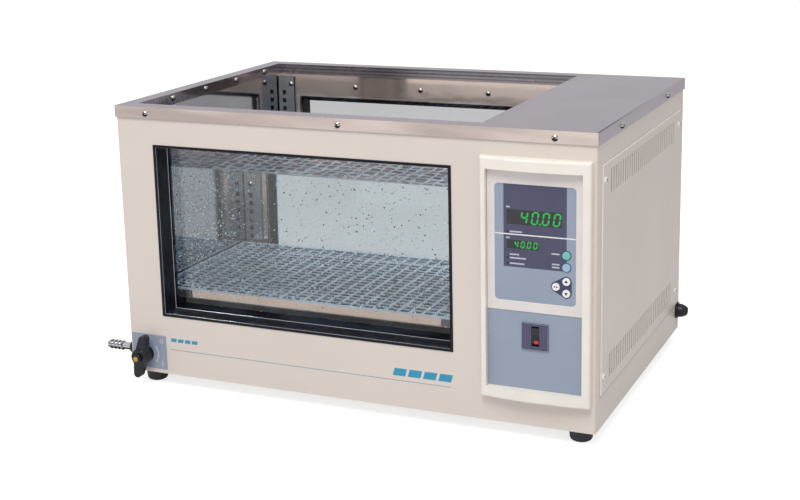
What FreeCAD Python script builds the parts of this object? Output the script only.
"""Windowed laboratory water bath, as an assembly of its separate pieces.

Working coordinates inside this file: X runs left to right along the cabinet's front, Y runs from the
front face to the back and Z runs up from the cabinet's underside, all from the cabinet's front left
bottom corner.  Every piece is placed relative to the assembly's own origin, which is the middle of the
whole object's footprint at the height of the surface it stands on.  Millimetres throughout.
"""
import FreeCAD, Part
import math
import os
import re

import Sketcher
from FreeCAD import Placement, Rotation, Vector

DIMENSIONS = {
    # where the assembly's origin lies in the working coordinates
    "origin_shift_x": 257.5,
    "origin_shift_y": 168.8,
    # cabinet
    "cabinet_width": 540,
    "cabinet_depth": 358,
    "cabinet_height": 300.8,
    "gauge": 1.2,
    "fold_radius": 2.5,
    "foot_height": 15,
    "foot_radius": 13,
    "foot_inset": 20,
    # stainless deck and the mouth of the bath
    "deck_overhang": 1.6,
    "deck_skirt": 12.5,
    "mouth_left": 16,
    "mouth_right": 417,
    "mouth_front": 19,
    "mouth_back": 341,
    # tank
    "tank_front": 28,
    "tank_floor": 36,
    # windows
    "window_left": 45,
    "window_right": 391,
    "window_bottom": 67.5,
    "window_top": 261,
    "trim_thickness": 3,
    "trim_proud": 0.8,
    "glass_thickness": 5,
    "rear_trim_thickness": 6,
    "pane_margin": 5,
    "seal_lip": 3.5,
    "seal_proud": 3,
    "seal_inset": 4,
    "seal_sill": 16,
    "gasket_thickness": 1.5,
    "ledge_front": 8,
    # slotted posts and the shelf
    "post_width": 22,
    "post_depth": 3,
    "post_gap": 1.5,
    "post_foot": 42,
    "post_head": 286,
    "slot_offset": 7.8,
    "slot_width": 5,
    "slot_height": 5.5,
    "slot_pitch": 10.5,
    "clip_width": 4.4,
    "clip_length": 20.5,
    "clip_z": 85.6,
    "shelf_top": 92,
    "shelf_left": 17.5,
    "shelf_right": 415,
    "shelf_front": 33,
    "shelf_back": 327,
    "shelf_edge": 9,
    "shelf_notch": 49,
    "mesh_pitch": 14,
    "mesh_hole": 10.6,
    "mesh_border": 2.5,
    # control console
    "console_left": 423,
    "console_right": 536,
    "console_round": 2.4,
    "console_bottom": 27.6,
    "console_top": 274,
    "console_side": 7,
    "console_bulge": 4.5,
    "bay_left": 429,
    "bay_right": 528,
    "bay_bottom": 39.5,
    "bay_top": 262,
    "bay_split": 119.5,
    "bay_gap": 0.2,
    "face_left": 437.3,
    "face_right": 520,
    "face_bottom": 129.7,
    "face_top": 247.5,
    "face_front": 1.9,
    "face_thickness": 1.5,
    "face_radius": 4,
    "screen_left": 446.3,
    "screen_right": 510.5,
    "screen_bottom": 164.2,
    "readout_left": 449.5,
    "board_y": 8,
    "key_radius": 4,
    "key_clearance": 0.3,
    # power switch
    "switch_left": 465,
    "switch_right": 492.6,
    "switch_bottom": 81,
    "switch_top": 108.5,
    "switch_seat": 2,
    "rocker_x": 479.2,
    "rocker_z": 95.4,
    "rocker_width": 7.4,
    "rocker_radius": 9.9,
    "rocker_tilt": 9,
    "rocker_pin": 1,
    # service panel
    "panel_front": 15,
    "panel_back": 341,
    "panel_bottom": 33.5,
    "panel_top": 268,
    "panel_margin": 8.5,
    "louvre_start": 29.3,
    "louvre_count": 31,
    "louvre_pitch": 8.67,
    "louvre_width": 3,
    "louvre_height": 24,
    # drain valve
    "valve_x": 21.5,
    "valve_y": 12,
    "valve_z": 21.8,
    "valve_tilt": 12,
    "handle_reach": 25,
    "handle_back": 14,
    "handle_front": 22.4,
    "stem_radius": 3,
    "ball_radius": 6,
    "nozzle_tip": -38,
    "nozzle_bore": 3,
    "pipe_radius": 5,
    "pipe_bore": 4,
    "drain_x": 70,
    "drain_y": 60,
    # heater and sensor
    "heater_near": 120,
    "heater_far": 200,
    "heater_z": 58,
    "heater_left": 80,
    "heater_radius": 4,
    "heater_bend": 30,
    "sensor_y": 80,
    "sensor_z": 66,
    "sensor_radius": 2.5,
    # circulation pump
    "pump_y": 260,
    "pump_z": 66,
    "pump_radius": 26,
    "impeller_radius": 21,
    "port_rise": 15,
    "suction_radius": 8,
    "return_radius": 5.5,
    "housing_depth": 22,
    "motor_radius": 23,
    # cord gland
    "gland_y": 346.5,
    "gland_z": 24,
    "gland_radius": 9.8,
    "gland_flange": 2,
    "gland_neck": 8,
    "gland_straight": 3.5,
    "gland_bore": 4,
    "gland_start": 534,
    "gland_tip": 553,
    "gland_hole": 7,
    # power electronics
    "power_left": 440,
    "power_front": 60,
    "power_length": 145,
    "power_width": 85,
    # dome-headed screws
    "dome_radius": 3.4,
    "dome_height": 2.4,
    "shank_radius": 1.6,
}

doc = FreeCAD.newDocument("WaterBath")
dims = doc.addObject("Spreadsheet::Sheet", "dims")
for row, (alias, number) in enumerate(DIMENSIONS.items(), start=1):
    dims.set(f"A{row}", alias)
    dims.set(f"B{row}", str(number))
    dims.setAlias(f"B{row}", alias)
doc.recompute()

NODES = []


# ---------------------------------------------------------------- helpers

def in_sheet(formula):
    """Turn a formula written with plain aliases into one that reads the sheet."""
    return re.sub(r"[a-z_]+", lambda word: "dims." + word.group() if word.group() in DIMENSIONS
                  else word.group(), str(formula))


def size_of(formula):
    """The number that a formula of aliases comes to."""
    words = re.findall(r"[a-z_]+", str(formula))
    numbers = {word: float(dims.get(word)) for word in words if word in DIMENSIONS}
    total = str(formula)
    for word in sorted(numbers, key=len, reverse=True):
        total = re.sub(rf"(?<![a-z_]){word}(?![a-z_])", f"({numbers[word]!r})", total)
    return float(FreeCAD.Units.Quantity(total).Value)


def bind(thing, prop, formula):
    thing.setExpression(prop, in_sheet(formula))


def place(thing, corner, turn=None):
    """Put a piece at a working coordinate, optionally turned."""
    if turn:
        thing.Placement = Placement(Vector(), turn)
    bind(thing, "Placement.Base.x", f"{corner[0]} - origin_shift_x")
    bind(thing, "Placement.Base.y", f"{corner[1]} - origin_shift_y")
    bind(thing, "Placement.Base.z", f"{corner[2]} + foot_height")


def node(thing, name):
    """Name a finished sub-part and list it for export."""
    thing.Label = name
    NODES.append(thing)
    return thing


def box(name, corner, size):
    block = doc.addObject("Part::Box", name)
    for prop, formula in zip(("Length", "Width", "Height"), size):
        bind(block, prop, formula)
    place(block, corner)
    return block


TURNS = {"X": Rotation(Vector(0, 1, 0), 90), "Y": Rotation(Vector(1, 0, 0), -90), "Z": Rotation()}


def rod(name, start, radius, length, axis="Z"):
    """A cylinder from start, running along +axis."""
    cylinder = doc.addObject("Part::Cylinder", name)
    bind(cylinder, "Radius", radius)
    bind(cylinder, "Height", length)
    place(cylinder, start, TURNS[axis])
    return cylinder


def ball(name, centre, radius, axis="Z"):
    """A sphere whose poles lie on the given axis."""
    sphere = doc.addObject("Part::Sphere", name)
    bind(sphere, "Radius", radius)
    place(sphere, centre, TURNS[axis])
    return sphere


def fuse(name, pieces):
    joined = doc.addObject("Part::MultiFuse", name)
    joined.Shapes = pieces
    joined.Refine = True
    return joined


def group(name, pieces):
    """Separate solids kept side by side in one sub-part."""
    together = doc.addObject("Part::Compound", name)
    together.Links = pieces
    return together


def cut(name, base, tools):
    carved = doc.addObject("Part::Cut", name)
    carved.Base = base
    carved.Tool = tools[0] if len(tools) == 1 else group(name + "_tools", tools)
    return carved


def free_shape(name, shape):
    """A sub-part whose shape is made directly, already in working coordinates."""
    feature = doc.addObject("Part::Feature", name)
    feature.Shape = Part.makeCompound(shape.Solids)
    place(feature, (0, 0, 0))
    return node(feature, name)


def new_body(name, corner=(0, 0, 0), turn=None):
    body = doc.addObject("PartDesign::Body", name)
    body.Label = name
    place(body, corner, turn)
    return body


def sketch_on(body, name, role):
    sketch = body.newObject("Sketcher::SketchObject", name)
    plane = next(item for item in body.Origin.OriginFeatures if item.Role == role)
    sketch.AttachmentSupport = [(plane, "")]
    sketch.MapMode = "FlatFace"
    return sketch


def pin_point(sketch, geometry, point, x, y):
    """Tie a sketch point to the sheet in both directions."""
    for kind, formula in (("DistanceX", x), ("DistanceY", y)):
        index = sketch.addConstraint(Sketcher.Constraint(kind, -1, 1, geometry, point, size_of(formula)))
        bind(sketch, f"Constraints[{index}]", formula)


def outline(sketch, points):
    """A closed polygon whose every corner follows the sheet."""
    corners = [Vector(size_of(x), size_of(y), 0) for x, y in points]
    first = sketch.GeometryCount
    count = len(corners)
    for index in range(count):
        sketch.addGeometry(Part.LineSegment(corners[index], corners[(index + 1) % count]), False)
    for index in range(count):
        after = first + (index + 1) % count
        sketch.addConstraint(Sketcher.Constraint("Coincident", first + index, 2, after, 1))
    for index, (x, y) in enumerate(points):
        pin_point(sketch, first + index, 1, x, y)


def rectangle(sketch, left, bottom, right, top):
    outline(sketch, [(left, bottom), (right, bottom), (right, top), (left, top)])


def circle(sketch, x, y, radius):
    centre = Vector(size_of(x), size_of(y), 0)
    index = sketch.addGeometry(Part.Circle(centre, Vector(0, 0, 1), size_of(radius)), False)
    pin_point(sketch, index, 3, x, y)
    ring = sketch.addConstraint(Sketcher.Constraint("Radius", index, size_of(radius)))
    bind(sketch, f"Constraints[{ring}]", radius)


def pad(body, sketch, length):
    """Pad a sketch so that the material always grows towards +X, +Y or +Z."""
    feature = body.newObject("PartDesign::Pad", sketch.Name + "_pad")
    feature.Profile = sketch
    bind(feature, "Length", length)
    feature.Reversed = "XZ" in sketch.AttachmentSupport[0][0].Role
    return feature


def pocket_through(body, sketch):
    """Cut a sketch right through the body, both ways."""
    feature = body.newObject("PartDesign::Pocket", sketch.Name + "_pocket")
    feature.Profile = sketch
    feature.Type = "ThroughAll"
    feature.Midplane = True
    return feature


def plate(name, role, corner, thickness, outer, holes=(), rounds=()):
    """A flat plate with rectangular and round holes, drawn on one of its body's own planes."""
    body = new_body(name, corner)
    sketch = sketch_on(body, name + "_outline", role)
    rectangle(sketch, *outer)
    for hole in holes:
        rectangle(sketch, *hole)
    for hole in rounds:
        circle(sketch, *hole)
    pad(body, sketch, thickness)
    return node(body, name)


def round_edges(body, radius, choose):
    """Fillet the edges of a body's last feature that choose accepts."""
    doc.recompute()
    base = body.Tip
    names = [f"Edge{index}" for index, edge in enumerate(base.Shape.Edges, start=1) if choose(edge)]
    fillet = body.newObject("PartDesign::Fillet", body.Name + "_fillet")
    fillet.Base = (base, names)
    bind(fillet, "Radius", radius)
    return fillet


def edge_at(along, *spots):
    """Accept straight edges that run along the axis "y" or "z" through one of the given positions."""
    across = ("x", "z") if along == "y" else ("x", "y")
    wanted = [(size_of(first), size_of(second)) for first, second in spots]

    def choose(edge):
        start, end = edge.Vertexes[0].Point, edge.Vertexes[-1].Point
        moved = [abs(getattr(start, axis) - getattr(end, axis)) for axis in across]
        if max(moved) > 1e-6 or abs(getattr(start, along) - getattr(end, along)) < 1e-6:
            return False
        here = [getattr(start, axis) for axis in across]
        return any(max(abs(here[0] - spot[0]), abs(here[1] - spot[1])) < 1e-3 for spot in wanted)
    return choose


def turned(name, start, profile, axis="X"):
    """A revolved body: profile gives (distance along the axis, radius) formulas from start."""
    body = new_body(name, start, TURNS[axis])
    sketch = sketch_on(body, name + "_profile", "XZ_Plane")
    outline(sketch, [(radius, along) for along, radius in profile])
    feature = body.newObject("PartDesign::Revolution", name + "_revolution")
    feature.Profile = sketch
    feature.ReferenceAxis = (sketch, ["V_Axis"])
    feature.Angle = 360
    return body


def round_path(points, radius):
    """A wire of straight runs joined by tangent arcs."""
    edges = []
    start = points[0]
    for before, corner, after in zip(points, points[1:], points[2:]):
        back = (before - corner).normalize()
        ahead = (after - corner).normalize()
        half = back.getAngle(ahead) / 2
        reach = radius / math.tan(half)
        first = corner + back * reach
        last = corner + ahead * reach
        middle = corner + (back + ahead).normalize() * (radius / math.sin(half) - radius)
        edges.append(Part.LineSegment(start, first).toShape())
        edges.append(Part.Arc(first, middle, last).toShape())
        start = last
    edges.append(Part.LineSegment(start, points[-1]).toShape())
    return Part.Wire(edges)


def tube_along(path, radius):
    start = path.Edges[0].valueAt(path.Edges[0].FirstParameter)
    ahead = path.Edges[0].tangentAt(path.Edges[0].FirstParameter)
    ring = Part.Wire(Part.makeCircle(radius, start, ahead))
    return path.makePipeShell([ring], True, True)


# ---------------------------------------------------------------- cabinet

WINDOW = ("window_left", "window_bottom", "window_right", "window_top")


def wrap_panel(name, y, front):
    """Front or rear sheet with a small folded return at each end and its cut-outs."""
    body = new_body(name, (0, y, 0))
    sketch = sketch_on(body, name + "_plan", "XY_Plane")
    skin, inner, ends = "0", "gauge", "fold_radius"
    if not front:
        skin, inner, ends = "fold_radius", "fold_radius - gauge", "0"
    outline(sketch, [("0", skin), ("cabinet_width", skin), ("cabinet_width", ends),
                     ("cabinet_width - gauge", ends), ("cabinet_width - gauge", inner),
                     ("gauge", inner), ("gauge", ends), ("0", ends)])
    pad(body, sketch, "cabinet_height")
    round_edges(body, "fold_radius - 0.1", edge_at("z", ("0", skin), ("cabinet_width", skin)))
    openings = sketch_on(body, name + "_openings", "XZ_Plane")
    rectangle(openings, *WINDOW)
    if front:
        rectangle(openings, "bay_left", "bay_bottom", "bay_right", "bay_top")
        circle(openings, "valve_x", "valve_z", "5.3")
    pocket_through(body, openings)
    node(body, name)


wrap_panel("front_panel", "0", True)
wrap_panel("rear_panel", "cabinet_depth - fold_radius", False)
plate("left_side_panel", "YZ_Plane", (0, 0, 0), "gauge",
      ("fold_radius", "0", "cabinet_depth - fold_radius", "cabinet_height"),
      rounds=[("valve_y", "valve_z", "5.5")])
plate("right_side_frame", "YZ_Plane", ("cabinet_width - gauge", 0, 0), "gauge",
      ("fold_radius", "0", "cabinet_depth - fold_radius", "cabinet_height"),
      holes=[("panel_front + 2 * panel_margin", "panel_bottom + panel_margin",
              "panel_back - 2 * panel_margin", "panel_top - panel_margin")],
      rounds=[("gland_y", "gland_z", "gland_hole")])
plate("base_panel", "XY_Plane", (0, 0, 0), "gauge",
      ("gauge", "gauge", "cabinet_width - gauge", "cabinet_depth - gauge"))


LEDGE = "cabinet_height + gauge - deck_skirt"


def deck_cover():
    """One stainless pressing: top, outer skirt and the lip folded down into the bath's mouth."""
    body = new_body("deck_cover", ("-deck_overhang", "-deck_overhang", LEDGE))
    width, depth = "cabinet_width + 2 * deck_overhang", "cabinet_depth + 2 * deck_overhang"
    sketch = sketch_on(body, "deck_plan", "XY_Plane")
    rectangle(sketch, "0", "0", width, depth)
    pad(body, sketch, "deck_skirt")
    round_edges(body, "fold_radius", edge_at("z", ("0", "0"), (width, "0"), ("0", depth), (width, depth)))
    hollow = sketch_on(body, "deck_hollow", "XY_Plane")
    rectangle(hollow, "gauge", "gauge", width + " - gauge", depth + " - gauge")
    rectangle(hollow, "mouth_left + deck_overhang - gauge", "mouth_front + deck_overhang - gauge",
              "mouth_right + deck_overhang + gauge", "mouth_back + deck_overhang + gauge")
    under = body.newObject("PartDesign::Pocket", "deck_hollow_pocket")
    under.Profile = hollow
    bind(under, "Length", "deck_skirt - gauge")
    under.Reversed = True
    mouth = sketch_on(body, "deck_mouth", "XY_Plane")
    rectangle(mouth, "mouth_left + deck_overhang", "mouth_front + deck_overhang",
              "mouth_right + deck_overhang", "mouth_back + deck_overhang")
    pocket_through(body, mouth)
    node(body, "deck_cover")


deck_cover()


def louvred_panel():
    """Lift-off side panel with an upper and a lower row of upright slots."""
    skin = box("service_skin", ("cabinet_width", "panel_front", "panel_bottom"),
               ("gauge", "panel_back - panel_front", "panel_top - panel_bottom"))
    slots = []
    for row, height in enumerate(("panel_top - 9 - louvre_height", "panel_bottom + 12")):
        for index in range(int(size_of("louvre_count"))):
            place = f"panel_front + louvre_start + {index} * louvre_pitch"
            slots.append(box(f"louvre_{row}_{index}", ("cabinet_width - 1", place, height),
                             ("gauge + 2", "louvre_width", "louvre_height")))
    node(cut("service_cut", skin, slots), "service_panel")


louvred_panel()


def feet():
    """Four rubber feet, each screwed up into the base, and their screws."""
    pads, screws = [], []
    spots = {"front_left": ("foot_inset", "foot_inset"),
             "front_right": ("cabinet_width - foot_inset", "foot_inset"),
             "rear_left": ("foot_inset", "cabinet_depth - foot_inset"),
             "rear_right": ("cabinet_width - foot_inset", "cabinet_depth - foot_inset")}
    for corner, (x, y) in spots.items():
        pads.append(turned(f"foot_{corner}", (x, y, "-foot_height"),
                           [("0", "4"), ("0", "foot_radius - 4.5"), ("1.1", "foot_radius - 2.6"),
                            ("3", "foot_radius - 1.5"), ("foot_height", "foot_radius"),
                            ("foot_height", "1.7"), ("8", "1.7"), ("8", "4")], "Z"))
        head = rod(f"foot_head_{corner}", (x, y, "5.5 - foot_height"), "3.8", "2.5")
        shank = rod(f"foot_shank_{corner}", (x, y, "7 - foot_height"), "shank_radius", "foot_height - 3")
        screws.append(fuse(f"foot_screw_{corner}", [head, shank]))
    node(group("foot_group", pads), "feet")
    node(group("foot_screw_group", screws), "foot_screws")


feet()

# ---------------------------------------------------------------- tank

TANK_LEFT = "mouth_left - 2 * gauge"
TANK_RIGHT = "mouth_right + 2 * gauge"
TANK_BACK = "mouth_back + gauge"
WALL_RIGHT = "mouth_right + gauge"


def tank_tub():
    """Side walls and floor, folded from one sheet."""
    outside = box("tub_outside", (TANK_LEFT, "tank_front", "tank_floor - gauge"),
                  (f"{TANK_RIGHT} - ({TANK_LEFT})", f"{TANK_BACK} - tank_front",
                   "cabinet_height - tank_floor + gauge"))
    inside = box("tub_inside", (f"{TANK_LEFT} + gauge", "tank_front - 1", "tank_floor"),
                 (f"{WALL_RIGHT} - ({TANK_LEFT}) - gauge", f"{TANK_BACK} - tank_front + 2",
                  "cabinet_height"))
    holes = [rod("tub_drain", ("drain_x", "drain_y", "tank_floor - 4"), "pipe_radius", "8")]
    ports = {"suction": ("pump_y", "pump_z", "suction_radius"),
             "return": ("pump_y", "pump_z + port_rise", "return_radius"),
             "heater_in": ("heater_near", "heater_z", "heater_radius"),
             "heater_out": ("heater_far", "heater_z", "heater_radius"),
             "sensor": ("sensor_y", "sensor_z", "sensor_radius")}
    for port, (y, z, radius) in ports.items():
        holes.append(rod("tub_" + port, ("mouth_right - 5", y, z), radius, "12", "X"))
    node(cut("tub_cut", outside, [inside] + holes), "tank_tub")


tank_tub()


def tank_front_wall():
    """Windowed front wall with a ledge folded forward under the deck's lip."""
    wall = box("front_wall_sheet", (TANK_LEFT, "tank_front - gauge", "tank_floor - gauge"),
               (f"{TANK_RIGHT} - ({TANK_LEFT})", "gauge", f"{LEDGE} - tank_floor + gauge"))
    ledge = box("front_wall_ledge", (TANK_LEFT, "ledge_front", f"{LEDGE} - gauge"),
                (f"{TANK_RIGHT} - ({TANK_LEFT})", "tank_front - ledge_front", "gauge"))
    window = box("front_wall_window", ("window_left", "tank_front - 5", "window_bottom"),
                 ("window_right - window_left", "10", "window_top - window_bottom"))
    node(cut("front_wall_cut", fuse("front_wall_fold", [wall, ledge]), [window]), "tank_front_wall")


tank_front_wall()
plate("tank_rear_wall", "XZ_Plane", (0, TANK_BACK, 0), "gauge",
      (TANK_LEFT, "tank_floor - gauge", TANK_RIGHT, "cabinet_height"), holes=[WINDOW])

# ---------------------------------------------------------------- windows

PANE = ("window_left - pane_margin", "window_bottom - pane_margin",
        "window_right + pane_margin", "window_top + pane_margin")
FRONT_GLASS = "tank_front - gauge - glass_thickness"
GASKET = "mouth_back + 2 * gauge"
REAR_GLASS = f"{GASKET} + gasket_thickness"


def inner_window(inset):
    """The window's rectangle, made smaller by inset on every side."""
    return (f"window_left + {inset}", f"window_bottom + {inset}",
            f"window_right - {inset}", f"window_top - {inset}")


plate("front_window_glass", "XZ_Plane", (0, FRONT_GLASS, 0), "glass_thickness", PANE)
plate("rear_window_glass", "XZ_Plane", (0, REAR_GLASS, 0), "glass_thickness", PANE)
plate("front_window_trim", "XZ_Plane", (0, "-trim_proud", 0), f"{FRONT_GLASS} + trim_proud",
      WINDOW, holes=[inner_window("trim_thickness")])
plate("rear_window_trim", "XZ_Plane", (0, f"{REAR_GLASS} + glass_thickness", 0),
      f"cabinet_depth + trim_proud - ({REAR_GLASS}) - glass_thickness",
      WINDOW, holes=[inner_window("rear_trim_thickness")])
plate("rear_window_seal", "XZ_Plane", (0, GASKET, 0), "gasket_thickness", PANE, holes=[WINDOW])


def front_seal():
    """Rubber edge seal: a lining in the wall's cut-out, and a wider lip and deep sill on the wet side."""
    lining = box("seal_lining", ("window_left", "tank_front - gauge", "window_bottom"),
                 ("window_right - window_left", "gauge", "window_top - window_bottom"))
    lip = box("seal_lip_block", ("window_left - seal_lip", "tank_front", "window_bottom - seal_lip"),
              ("window_right - window_left + 2 * seal_lip", "seal_proud",
               "window_top - window_bottom + 2 * seal_lip"))
    clear = box("seal_clear", ("window_left + seal_inset", "0", "window_bottom + seal_sill"),
                ("window_right - window_left - 2 * seal_inset", "cabinet_depth",
                 "window_top - window_bottom - seal_inset - seal_sill"))
    node(cut("seal_cut", fuse("seal_ring", [lining, lip]), [clear]), "front_window_seal")


front_seal()

# ---------------------------------------------------------------- posts, clips and shelf

SLOT_GROUPS = ((265, 9), (150, 10))
POST_LEFT = f"{TANK_LEFT} + gauge + post_gap"
POST_RIGHT = f"{WALL_RIGHT} - post_gap - post_width"


def shelf_post(name, x, y, rear):
    """Slotted channel screwed to the tank's wall in one corner; its web faces the bath."""
    left = x == POST_LEFT
    web_y = y if rear else f"{y} + post_depth - gauge"
    channel_y = f"{y} + gauge" if rear else f"{y} - 1"
    block = box(name + "_block", (x, y, "post_foot"), ("post_width", "post_depth", "post_head - post_foot"))
    channel = box(name + "_channel", (f"{x} + gauge", channel_y, "post_foot - 1"),
                  ("post_width - 2 * gauge", "post_depth - gauge + 1", "post_head - post_foot + 2"))
    slot_x = f"{x} + slot_offset" if left else f"{x} + post_width - slot_offset"
    slots = []
    for first, count in SLOT_GROUPS:
        for index in range(count):
            slots.append(box(f"{name}_slot_{first}_{index}",
                             (f"{slot_x} - slot_width / 2", f"{web_y} - 1",
                              f"{first} - {index} * slot_pitch - slot_height / 2"),
                             ("slot_width", "gauge + 2", "slot_height")))
    node(cut(name + "_cut", block, [channel] + slots), name)
    return slot_x


REAR_POST_Y = f"{TANK_BACK} - post_depth"
POSTS = {"rear_left": (POST_LEFT, REAR_POST_Y, True), "rear_right": (POST_RIGHT, REAR_POST_Y, True),
         "front_left": (POST_LEFT, "tank_front", False), "front_right": (POST_RIGHT, "tank_front", False)}
slot_centres = {corner: shelf_post("shelf_post_" + corner, *spot) for corner, spot in POSTS.items()}


def shelf_clips():
    """Four hooked tabs, one in a slot of each post, with the shelf lying on their raised ends."""
    clips = []
    for corner, (x, y, rear) in POSTS.items():
        left = f"{slot_centres[corner]} - clip_width / 2"
        tab_y = f"{y} + gauge - clip_length" if rear else f"{y} + post_depth - gauge"
        end_y = tab_y if rear else f"{tab_y} + clip_length - 8"
        hook_y = f"{y} + gauge" if rear else f"{y} + 0.9"
        tab = box(f"clip_tab_{corner}", (left, tab_y, "clip_z"), ("clip_width", "clip_length", "2.8"))
        end = box(f"clip_end_{corner}", (left, end_y, "clip_z"),
                  ("clip_width", "8", "shelf_top - gauge - clip_z"))
        hook = box(f"clip_hook_{corner}", (left, hook_y, "clip_z - 4"), ("clip_width", "0.9", "6.8"))
        clips.append(fuse(f"clip_{corner}", [tab, end, hook]))
    node(group("clip_group", clips), "shelf_clips")


shelf_clips()


def shelf():
    """Perforated shelf with folded edges, notched at its corners to clear the clips."""
    left, right = size_of("shelf_left"), size_of("shelf_right")
    front, back = size_of("shelf_front"), size_of("shelf_back")
    gauge, top, edge = size_of("gauge"), size_of("shelf_top"), size_of("shelf_edge")
    pitch, hole, notch = size_of("mesh_pitch"), size_of("mesh_hole"), size_of("shelf_notch")
    floor = top - gauge
    sheet = Part.makePlane(right - left, back - front, Vector(left, front, floor))
    border = size_of("mesh_border")
    columns = int((right - left - 2 * border) // pitch)
    rows = int((back - front - 2 * border) // pitch)
    start_x = (left + right - columns * pitch + pitch - hole) / 2
    start_y = (front + back - rows * pitch + pitch - hole) / 2
    wires = [sheet.OuterWire]
    for column in range(columns):
        for row in range(rows):
            corner = Vector(start_x + column * pitch, start_y + row * pitch, floor)
            wires.append(Part.makePlane(hole, hole, corner).OuterWire)
    mesh = Part.Face(wires, "Part::FaceMakerBullseye").extrude(Vector(0, 0, gauge))
    width, depth, low = right - left - 2 * notch, back - front - 2 * notch, top - edge
    folds = [Part.makeBox(gauge, depth, edge, Vector(x, front + notch, low)) for x in (left, right - gauge)]
    folds += [Part.makeBox(width, gauge, edge, Vector(left + notch, y, low)) for y in (front, back - gauge)]
    free_shape("perforated_shelf", mesh.multiFuse(folds).removeSplitter())


shelf()

# ---------------------------------------------------------------- screws


def dome_screw(name, seat, axis, inward):
    """A dome-headed screw seated on a face; inward is +1 or -1 along the axis for its shank."""
    radius, height = size_of("dome_radius"), size_of("dome_height")
    shank = size_of("shank_radius")
    sphere_radius = (radius ** 2 + height ** 2) / (2 * height)
    sphere = Part.makeSphere(sphere_radius, Vector(0, 0, height - sphere_radius))
    head = sphere.common(Part.makeCylinder(radius, height, Vector(0, 0, 0)))
    screw = head.fuse(Part.makeCylinder(shank, 4, Vector(0, 0, -4)))
    outward = {"X": Vector(1, 0, 0), "Y": Vector(0, 1, 0)}[axis] * -inward
    turn = Rotation(Vector(0, 0, 1), outward)
    screw.Placement = Placement(Vector(*[size_of(value) for value in seat]), turn)
    return screw


def screw_group(name, spots):
    free_shape(name, Part.makeCompound([dome_screw(name, *spot) for spot in spots]))


SKIRT_Z = "cabinet_height + gauge - 7"
LIP_Z = "cabinet_height + gauge - 5.5"
deck_spots = [((x, "-deck_overhang", SKIRT_Z), "Y", 1) for x in (38, 268.5, 498)]
deck_spots += [((x, "cabinet_depth + deck_overhang", SKIRT_Z), "Y", -1) for x in (38, 268.5, 498)]
deck_spots += [(("cabinet_width + deck_overhang", y, SKIRT_Z), "X", -1) for y in (80, 272)]
deck_spots += [(("-deck_overhang", y, SKIRT_Z), "X", 1) for y in (80, 272)]
screw_group("deck_screws", deck_spots)

tank_spots = [((x, TANK_BACK, 275.5), "Y", 1) for x in (125, 214.5, 304)]
for post_x, upper, lower in ((POST_LEFT, 18, 8), (POST_RIGHT, 4, 14)):
    for offset, z in ((upper, 276.7), (lower, 164)):
        tank_spots.append(((f"{post_x} + {offset}", REAR_POST_Y, z), "Y", 1))
        tank_spots.append(((f"{post_x} + {offset}", "tank_front + post_depth", z), "Y", -1))
for wall_x, inward in (("mouth_left", -1), ("mouth_right", 1)):
    tank_spots += [((wall_x, y, LIP_Z), "X", inward) for y in (90, 161, 232, 303)]
screw_group("tank_screws", tank_spots)

panel_spots = []
for y in ("panel_front + 6.5", "panel_back - 12"):
    for z in ("panel_bottom + 20", "panel_top - 15.5"):
        panel_spots.append((("cabinet_width + gauge", y, z), "X", -1))
screw_group("service_panel_screws", panel_spots)

# ---------------------------------------------------------------- control console


def console_bezel():
    """Thick surround whose front bows outwards, with a bay for the two panels."""
    left, right = size_of("console_left"), size_of("console_right")
    side, bulge = size_of("console_side"), size_of("console_bulge")
    low, high = size_of("console_bottom"), size_of("console_top")
    corners = [Vector(x, y, low) for x, y in ((left, 0), (right, 0), (right, -side), (left, -side))]
    crown = Part.Arc(corners[2], Vector((left + right) / 2, -side - bulge, low), corners[3]).toShape()
    sides = [Part.LineSegment(corners[index], corners[index + 1]).toShape() for index in (0, 1)]
    sides += [crown, Part.LineSegment(corners[3], corners[0]).toShape()]
    block = Part.Face(Part.Wire(sides)).extrude(Vector(0, 0, high - low))
    front_edges = [edge for edge in block.Edges if edge.CenterOfMass.y < -side + 1e-3]
    block = block.makeFillet(size_of("console_round"), front_edges)
    bay = Part.makeBox(size_of("bay_right - bay_left"), side + bulge + 5, size_of("bay_top - bay_bottom"),
                       Vector(size_of("bay_left"), -side - bulge - 2, size_of("bay_bottom")))
    free_shape("console_bezel", block.cut(bay))


console_bezel()

KEYS = {"mode_button": ("510.5", "180.5", "0"), "start_button": ("510.5", "168.5", "0"),
        "up_button": ("510.5", "154.3", "0.2"), "down_button": ("510.5", "142.4", "0.2"),
        "shift_button": ("500", "148.3", "0.2")}
FACE_CORNERS = [(x, z) for x in ("face_left", "face_right") for z in ("face_bottom", "face_top")]
UPPER_READOUT = ("readout_left", "207.3", "readout_left + 56", "222.1")
LOWER_READOUT = ("readout_left", "182.9", "readout_left + 32.6", "191.5")


def controller_frame():
    body = new_body("controller_frame", (0, "-face_front - 0.7", 0))
    sketch = sketch_on(body, "controller_frame_outline", "XZ_Plane")
    rectangle(sketch, "bay_left + bay_gap", "bay_split + bay_gap",
              "bay_right - bay_gap", "bay_top - bay_gap")
    rectangle(sketch, "face_left", "face_bottom", "face_right", "face_top")
    pad(body, sketch, "board_y + face_front + 0.7")
    round_edges(body, "face_radius", edge_at("y", *FACE_CORNERS))
    node(body, "controller_frame")


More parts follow.
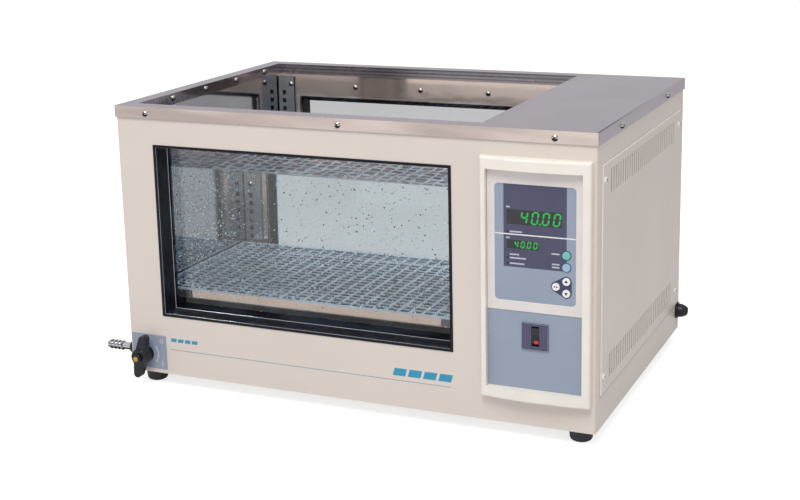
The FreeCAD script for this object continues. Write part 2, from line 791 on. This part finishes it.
def controller_face():
    """Printed grey-blue face around the screen, with a hole for each key."""
    body = new_body("controller_face", (0, "-face_front", 0))
    sketch = sketch_on(body, "controller_face_outline", "XZ_Plane")
    outline(sketch, [("face_left", "face_bottom"), ("face_right", "face_bottom"),
                     ("face_right", "face_top"), ("screen_right", "face_top"),
                     ("screen_right", "screen_bottom"), ("screen_left", "screen_bottom"),
                     ("screen_left", "face_top"), ("face_left", "face_top")])
    pad(body, sketch, "face_thickness")
    round_edges(body, "face_radius", edge_at("y", *FACE_CORNERS))
    holes = sketch_on(body, "controller_face_holes", "XZ_Plane")
    for x, z, smaller in KEYS.values():
        circle(holes, x, z, f"key_radius + key_clearance - {smaller}")
    pocket_through(body, holes)
    node(body, "controller_face")


def display_screen():
    """Dark screen set into the face, open where the two readouts stand in it."""
    body = new_body("display_screen", (0, "-face_front", 0))
    sketch = sketch_on(body, "display_screen_outline", "XZ_Plane")
    rectangle(sketch, "screen_left", "screen_bottom", "screen_right", "face_top")
    rectangle(sketch, *UPPER_READOUT)
    rectangle(sketch, *LOWER_READOUT)
    pad(body, sketch, "face_thickness")
    holes = sketch_on(body, "display_screen_holes", "XZ_Plane")
    for name in ("mode_button", "start_button"):
        circle(holes, KEYS[name][0], KEYS[name][1], "key_radius + key_clearance")
    pocket_through(body, holes)
    node(body, "display_screen")


def display_modules():
    modules = []
    for name, (left, low, right, high) in (("upper", UPPER_READOUT), ("lower", LOWER_READOUT)):
        modules.append(box(f"readout_{name}", (left, "-face_front + 0.2", low),
                           (f"{right} - ({left})", "board_y + face_front - 0.2", f"{high} - {low}")))
    node(group("readouts", modules), "display_modules")


def keys():
    for name, (x, z, smaller) in KEYS.items():
        cap = rod(name + "_cap", (x, "-face_front - 1.2", z), f"key_radius - {smaller}",
                  "face_front + 5.4", "Y")
        flange = rod(name + "_flange", (x, "0.2", z), "key_radius + 1", "1.2", "Y")
        node(fuse(name + "_key", [cap, flange]), name)


def controller_board():
    """Circuit board with one tactile switch behind each key."""
    pieces = [box("board_sheet", ("bay_left + 2", "board_y", "bay_split + 3"),
                  ("bay_right - bay_left - 4", "1.6", "bay_top - bay_split - 6"))]
    for name, (x, z, _) in KEYS.items():
        pieces.append(box(name + "_switch", (f"{x} - 3", "board_y - 2.4", f"{z} - 3"), ("6", "2.5", "6")))
    pieces.append(box("board_processor", ("460", "board_y + 1.5", "185"), ("22", "3", "22")))
    pieces.append(box("board_connector", ("445", "board_y + 1.5", "135"), ("60", "11", "12")))
    node(fuse("board_parts", pieces), "controller_board")


controller_frame()
controller_face()
display_screen()
display_modules()
keys()
controller_board()

# ---------------------------------------------------------------- power switch

SWITCH = ("switch_left", "switch_bottom", "switch_right", "switch_top")
SWITCH_BODY = ("switch_left + 2", "switch_bottom + 2", "switch_right - 2", "switch_top - 2")
PIVOT_Y = "2"

plate("switch_panel", "XZ_Plane", (0, "-switch_seat", 0), "1.5",
      ("bay_left + bay_gap", "bay_bottom + bay_gap", "bay_right - bay_gap", "bay_split"),
      holes=[SWITCH_BODY])


def power_switch():
    """Square switch body with the slot and the pin holes that its rocker sits in."""
    left, low, right, high = SWITCH
    flange = box("switch_flange", (left, "-switch_seat - 1.2", low),
                 (f"{right} - {left}", "1.2", f"{high} - {low}"))
    left, low, right, high = SWITCH_BODY
    block = box("switch_block", (left, "-switch_seat - 0.1", low),
                (f"{right} - ({left})", "20", f"{high} - ({low})"))
    slot = box("switch_slot",
               ("rocker_x - rocker_width / 2 - 0.3", "-6", "rocker_z - rocker_radius - 0.35"),
               ("rocker_width + 0.6", "20", "2 * rocker_radius + 0.7"))
    pivot = rod("switch_pivot", ("rocker_x - 6", PIVOT_Y, "rocker_z"), "rocker_pin + 0.06", "12", "X")
    node(cut("switch_cut", fuse("switch_solid", [flange, block]), [slot, pivot]), "power_switch_body")


def power_rocker():
    """Rocker that tips in the switch body on two stub pins."""
    width, pivot_y = size_of("rocker_width"), size_of(PIVOT_Y)
    profile = [(-6.3, -7.6), (-4.6, 0), (-6.3, 7.6), (-3.2, 9.3), (3.5, 9), (3.5, -9), (-3.2, -9.3)]
    middle = Vector(size_of("rocker_x"), pivot_y, size_of("rocker_z"))
    corners = [middle + Vector(-width / 2, y, z) for y, z in profile]
    key = Part.Face(Part.makePolygon(corners + corners[:1])).extrude(Vector(width, 0, 0))
    pins = Part.makeCylinder(size_of("rocker_pin"), width + 3, middle - Vector(width / 2 + 1.5, 0, 0),
                             Vector(1, 0, 0))
    rocker = key.fuse(pins)
    rocker.rotate(middle, Vector(1, 0, 0), -size_of("rocker_tilt"))
    free_shape("power_rocker", rocker)


power_switch()
power_rocker()

# ---------------------------------------------------------------- drain valve

VALVE = ("valve_x", "valve_y", "valve_z")
NECK_RADIUS = 5
NECK_HOLE = NECK_RADIUS + 0.3

plate("drain_label_plate", "XZ_Plane", (0, "-0.5", 0), "0.5", ("2.3", "4.6", "47", "44"),
      rounds=[("valve_x", "valve_z", NECK_HOLE)])


def valve_body():
    """Ball valve body lying across the cabinet, with a threaded neck out through the front."""
    barrel = rod("valve_barrel", ("8", "valve_y", "valve_z"), "8.5", "27", "X")
    neck = rod("valve_neck", ("valve_x", "-5.2", "valve_z"), NECK_RADIUS, "valve_y + 5.2", "Y")
    tools = [rod("valve_bore", ("7", "valve_y", "valve_z"), "pipe_bore", "30", "X"),
             ball("valve_chamber", VALVE, "ball_radius + 0.3", "X"),
             rod("valve_stem_bore", ("valve_x", "-6", "valve_z"), "stem_radius + 0.06", "valve_y + 6", "Y")]
    node(cut("valve_cut", fuse("valve_solid", [barrel, neck]), tools), "drain_valve_body")


def ring(name, start, outer, inner, length, axis):
    """A plain ring such as a nut, bush or washer."""
    hole_start = [f"{value} - {1 if letter == axis else 0}" for value, letter in zip(start, "XYZ")]
    blank = rod(name + "_blank", start, outer, length, axis)
    hole = rod(name + "_hole", hole_start, inner, f"{length} + 2", axis)
    node(cut(name + "_cut", blank, [hole]), name)


def drain_stem():
    """Bored ball with its stem, tilted with the handle."""
    centre = Vector(*[size_of(value) for value in VALVE])
    radius = size_of("ball_radius")
    sphere = Part.makeSphere(radius, centre)
    back = size_of("handle_back")
    stem = Part.makeCylinder(size_of("stem_radius"), centre.y + back - radius / 2,
                             Vector(centre.x, -back, centre.z), Vector(0, 1, 0))
    bore = Part.makeCylinder(3.5, 4 * radius, centre - Vector(0, 0, 2 * radius), Vector(0, 0, 1))
    shape = sphere.fuse(stem).cut(bore)
    shape.rotate(centre, Vector(0, 1, 0), size_of("valve_tilt"))
    free_shape("drain_stem", shape)


def tapered_arm(centre, root_radius, tip_radius, reach, depth):
    """A wing with two round ends joined by tangents, standing up from centre."""
    lean = math.asin((root_radius - tip_radius) / reach)
    tip = centre + Vector(0, 0, reach)
    side = Vector(math.cos(lean), 0, math.sin(lean))
    other = Vector(-side.x, 0, side.z)
    root_right, root_left = centre + side * root_radius, centre + other * root_radius
    tip_right, tip_left = tip + side * tip_radius, tip + other * tip_radius
    edges = [Part.LineSegment(root_right, tip_right).toShape(),
             Part.Arc(tip_right, tip + Vector(0, 0, tip_radius), tip_left).toShape(),
             Part.LineSegment(tip_left, root_left).toShape(),
             Part.Arc(root_left, centre - Vector(0, 0, root_radius), root_right).toShape()]
    wing = Part.Face(Part.Wire(edges)).extrude(Vector(0, depth, 0))
    return wing.makeFillet(1.2, [edge for edge in wing.Edges if abs(edge.CenterOfMass.y - centre.y) < 1e-3])


def drain_handle():
    """Two-winged handle on a round hub, pushed over the stem."""
    x, z = size_of("valve_x"), size_of("valve_z")
    front, back = -size_of("handle_front"), -size_of("handle_back")
    tip_radius, along = 4.4, Vector(0, 1, 0)
    hub = Part.makeCylinder(9.6, 12.8, Vector(x, -19, z), along)
    hub = hub.makeFillet(1.2, [edge for edge in hub.Edges if edge.CenterOfMass.y < -18.9])
    boss = Part.makeCylinder(4.6, 4, Vector(x, front, z), along)
    boss = boss.makeFillet(0.8, [edge for edge in boss.Edges if edge.CenterOfMass.y < front + 0.1])
    wing = tapered_arm(Vector(x, -17.5, z), 7.4, tip_radius, size_of("handle_reach") - tip_radius, 9.5)
    lower = wing.copy()
    lower.rotate(Vector(x, 0, z), along, 180)
    handle = hub.multiFuse([boss, wing, lower])
    handle = handle.cut(Part.makeCylinder(size_of("stem_radius"), 10, Vector(x, back, z), along))
    handle = handle.cut(Part.makeCylinder(2, 12, Vector(x, front - 1.6, z), along))
    handle.rotate(Vector(x, 0, z), along, size_of("valve_tilt"))
    free_shape("drain_handle", handle.removeSplitter())


def handle_screw():
    shank = rod("handle_screw_shank", ("valve_x", "-handle_front", "valve_z"), "2",
                "handle_front - handle_back", "Y")
    head = rod("handle_screw_head", ("valve_x", "-handle_front - 2", "valve_z"), "2.8", "2", "Y")
    node(fuse("handle_screw_solid", [shank, head]), "drain_handle_screw")


def hose_nozzle():
    """Barbed hose nozzle screwed into the valve's outlet."""
    profile = [("0", "nozzle_bore"), ("0", "4.1")]
    for barb in range(4):
        profile += [(f"{5 * barb} + 4.4", "5.5"), (f"{5 * barb} + 5", "4.2")]
    profile += [("8 - nozzle_tip", "4.2"), ("8 - nozzle_tip", "nozzle_bore")]
    node(turned("hose_nozzle", ("nozzle_tip", "valve_y", "valve_z"), profile), "hose_nozzle")


def drain_pipe():
    """Pipe from the valve's inlet round to the outlet in the tank's floor."""
    y, z = size_of("valve_y"), size_of("valve_z")
    floor = size_of("tank_floor")
    drain_x, drain_y = size_of("drain_x"), size_of("drain_y")
    path = round_path([Vector(35, y, z), Vector(drain_x, y, z), Vector(drain_x, drain_y, z),
                       Vector(drain_x, drain_y, floor)], 9)
    pipe = tube_along(path, size_of("pipe_radius"))
    flange = Part.makeCylinder(10, 1.2, Vector(drain_x, drain_y, floor - size_of("gauge") - 1.2))
    free_shape("drain_pipe", pipe.fuse(flange).cut(tube_along(path, size_of("pipe_bore"))))


valve_body()
ring("drain_valve_bush", ("valve_x", "-3", "valve_z"), "8.8", NECK_RADIUS, "2.5", "Y")
ring("drain_valve_nut", ("valve_x", "-5", "valve_z"), "6.8", NECK_RADIUS, "2", "Y")
drain_stem()
drain_handle()
handle_screw()
hose_nozzle()
ring("nozzle_collar", ("-6.5", "valve_y", "valve_z"), "6.5", "4.2", "5.3", "X")
ring("nozzle_washer", ("-1.2", "valve_y", "valve_z"), "8", "4.2", "1.2", "X")
drain_pipe()

# ---------------------------------------------------------------- heater and sensor


def heater():
    """Sheathed heating loop under the shelf, with its two wall bosses and terminal stubs."""
    wall, z = size_of(TANK_RIGHT), size_of("heater_z")
    near, far, left = (size_of("heater_" + side) for side in ("near", "far", "left"))
    end = wall + 12
    path = round_path([Vector(end, near, z), Vector(left, near, z), Vector(left, far, z),
                       Vector(end, far, z)], size_of("heater_bend"))
    loop = tube_along(path, size_of("heater_radius"))
    extras = []
    for y in (near, far):
        extras.append(Part.makeCylinder(9, 3, Vector(wall, y, z), Vector(1, 0, 0)))
        extras.append(Part.makeCylinder(1.5, 8, Vector(end, y, z), Vector(1, 0, 0)))
    free_shape("heater_loop", loop.multiFuse(extras))


def sensor():
    probe = rod("sensor_probe", ("350", "sensor_y", "sensor_z"), "sensor_radius", "80", "X")
    boss = rod("sensor_boss", (TANK_RIGHT, "sensor_y", "sensor_z"), "6", "7", "X")
    node(fuse("sensor_parts", [probe, boss]), "temperature_sensor")


heater()
sensor()

# ---------------------------------------------------------------- circulation pump


def pump_housing():
    """Flat round housing on the tank's wall with a suction and a return port."""
    start, bore_start = "mouth_right + 6", "mouth_right - 2"
    shell = rod("pump_shell", (start, "pump_y", "pump_z"), "pump_radius", "housing_depth", "X")
    suction = rod("pump_suction", ("mouth_right", "pump_y", "pump_z"), "suction_radius", "7", "X")
    outlet = rod("pump_outlet", ("mouth_right", "pump_y", "pump_z + port_rise"), "return_radius", "7", "X")
    tools = [rod("pump_chamber", (f"{start} + 3", "pump_y", "pump_z"), "impeller_radius + 1.5",
                 "housing_depth - 7", "X"),
             rod("pump_suction_bore", (bore_start, "pump_y", "pump_z"), "suction_radius - 2", "13", "X"),
             rod("pump_outlet_bore", (bore_start, "pump_y", "pump_z + port_rise"), "return_radius - 1.5",
                 "13", "X"),
             rod("pump_shaft_bore", (f"{start} + 15", "pump_y", "pump_z"), "stem_radius + 0.06", "8", "X")]
    node(cut("pump_cut", fuse("pump_solid", [shell, suction, outlet]), tools), "pump_housing")


def pump_impeller():
    """Six-bladed impeller on its shaft."""
    axis = Vector(1, 0, 0)
    start = Vector(size_of("mouth_right") + 12, size_of("pump_y"), size_of("pump_z"))
    radius = size_of("impeller_radius")
    pieces = [Part.makeCylinder(6, 10, start, axis),
              Part.makeCylinder(size_of("stem_radius"), 42, start, axis)]
    for index in range(6):
        blade = Part.makeBox(8, 1.6, radius - 5, start + Vector(0, -0.8, 4.5))
        blade.rotate(start, axis, 60 * index)
        pieces.append(blade)
    disc = Part.makeCylinder(radius, 2.5, start, axis)
    free_shape("pump_impeller", disc.multiFuse(pieces))


def pump_motor():
    start = "mouth_right + 6 + housing_depth"
    can = rod("motor_can", (f"{start} + 4", "pump_y", "pump_z"), "motor_radius", "50", "X")
    boss = rod("motor_boss", (start, "pump_y", "pump_z"), "10", "5", "X")
    bore = rod("motor_bore", (f"{start} - 1", "pump_y", "pump_z"), "stem_radius + 0.06", "28", "X")
    node(cut("motor_cut", fuse("motor_solid", [can, boss]), [bore]), "pump_motor")


def pump_bracket():
    """Foot and saddle that carry the motor from the cabinet's base."""
    foot = box("bracket_foot", ("458", "pump_y - 24", "gauge"), ("34", "48", "2"))
    saddle = box("bracket_saddle", ("462", "pump_y - 15", "gauge + 1.9"), ("26", "30", "pump_z - 14"))
    room = rod("bracket_room", ("450", "pump_y", "pump_z"), "motor_radius", "60", "X")
    node(cut("bracket_cut", fuse("bracket_solid", [foot, saddle]), [room]), "pump_bracket")


pump_housing()
pump_impeller()
pump_motor()
pump_bracket()

# ---------------------------------------------------------------- power electronics and cord gland


def on_board(name, right, back, size):
    """A block that stands on the power board, at distances from the board's left front corner."""
    return box(name, (f"power_left + {right}", f"power_front + {back}", "gauge + 9.5"), size)


def power_board():
    """Board on four pillars with terminal strip, transformer and finned solid-state relay."""
    sheet = box("power_sheet", ("power_left", "power_front", "gauge + 8"),
                ("power_width", "power_length", "1.6"))
    pieces = [sheet, on_board("terminal_strip", 6, 8, ("60", "15", "14")),
              on_board("transformer", 8, 35, ("42", "40", "34")),
              on_board("relay", 10, 90, ("60", "42", "10"))]
    for side, x in (("left", "power_left + 5"), ("right", "power_left + power_width - 5")):
        for end, y in (("front", "power_front + 5"), ("back", "power_front + power_length - 5")):
            pieces.append(rod(f"pillar_{side}_{end}", (x, y, "gauge"), "3", "8.2"))
    pieces += [on_board(f"relay_fin_{fin}", 12 + 8 * fin, 92, ("1.6", "38", "31.5")) for fin in range(8)]
    node(fuse("power_parts", pieces), "power_board")


def cord_gland():
    """Cord gland in the side sheet: a thin flange against the wall and a nose with a domed end."""
    wall, tip = size_of("cabinet_width - gland_start"), size_of("gland_tip - gland_start")
    bore, hole = size_of("gland_bore"), size_of("gland_hole") - 0.1
    neck, flange = size_of("gland_neck"), size_of("gland_radius")
    rim, dome = wall + size_of("gland_flange"), wall + size_of("gland_straight")
    mouth = bore + 0.5
    corners = [(tip, mouth), (tip, bore), (0, bore), (0, hole), (wall, hole), (wall, flange),
               (rim, flange), (rim, neck), (dome, neck)]
    points = [Vector(along, 0, across) for along, across in corners]
    sides = [Part.LineSegment(*ends).toShape() for ends in zip(points, points[1:])]
    bend = ((tip - dome) ** 2 + (neck - mouth) ** 2) / (2 * (neck - mouth))
    half = math.asin((tip - dome) / bend) / 2
    middle = Vector(dome + bend * math.sin(half), 0, neck - bend * (1 - math.cos(half)))
    sides.append(Part.Arc(points[-1], middle, points[0]).toShape())
    gland = Part.Face(Part.Wire(sides)).revolve(Vector(0, 0, 0), Vector(1, 0, 0), 360)
    gland.translate(Vector(size_of("gland_start"), size_of("gland_y"), size_of("gland_z")))
    free_shape("cord_gland", gland)


power_board()
cord_gland()

# ---------------------------------------------------------------- check and export

doc.recompute()
for thing in doc.Objects:
    if "Invalid" in thing.State or "Error" in thing.State:
        raise RuntimeError(f"{thing.Name} did not compute: {thing.State}")
os.makedirs("parts", exist_ok=True)
total = FreeCAD.BoundBox()
for thing in NODES:
    shape = thing.Shape
    if shape.isNull() or not shape.isValid() or not shape.Solids or shape.Volume <= 0:
        raise RuntimeError(f"{thing.Label} has no valid solid")
    total.add(shape.BoundBox)
    shape.exportStep(os.path.join("parts", thing.Label + ".step"))
    print(f"{thing.Label:24s} solids {len(shape.Solids):2d}  volume {shape.Volume / 1000:9.2f} cm3")
print(f"{len(NODES)} sub-parts, box {total}")
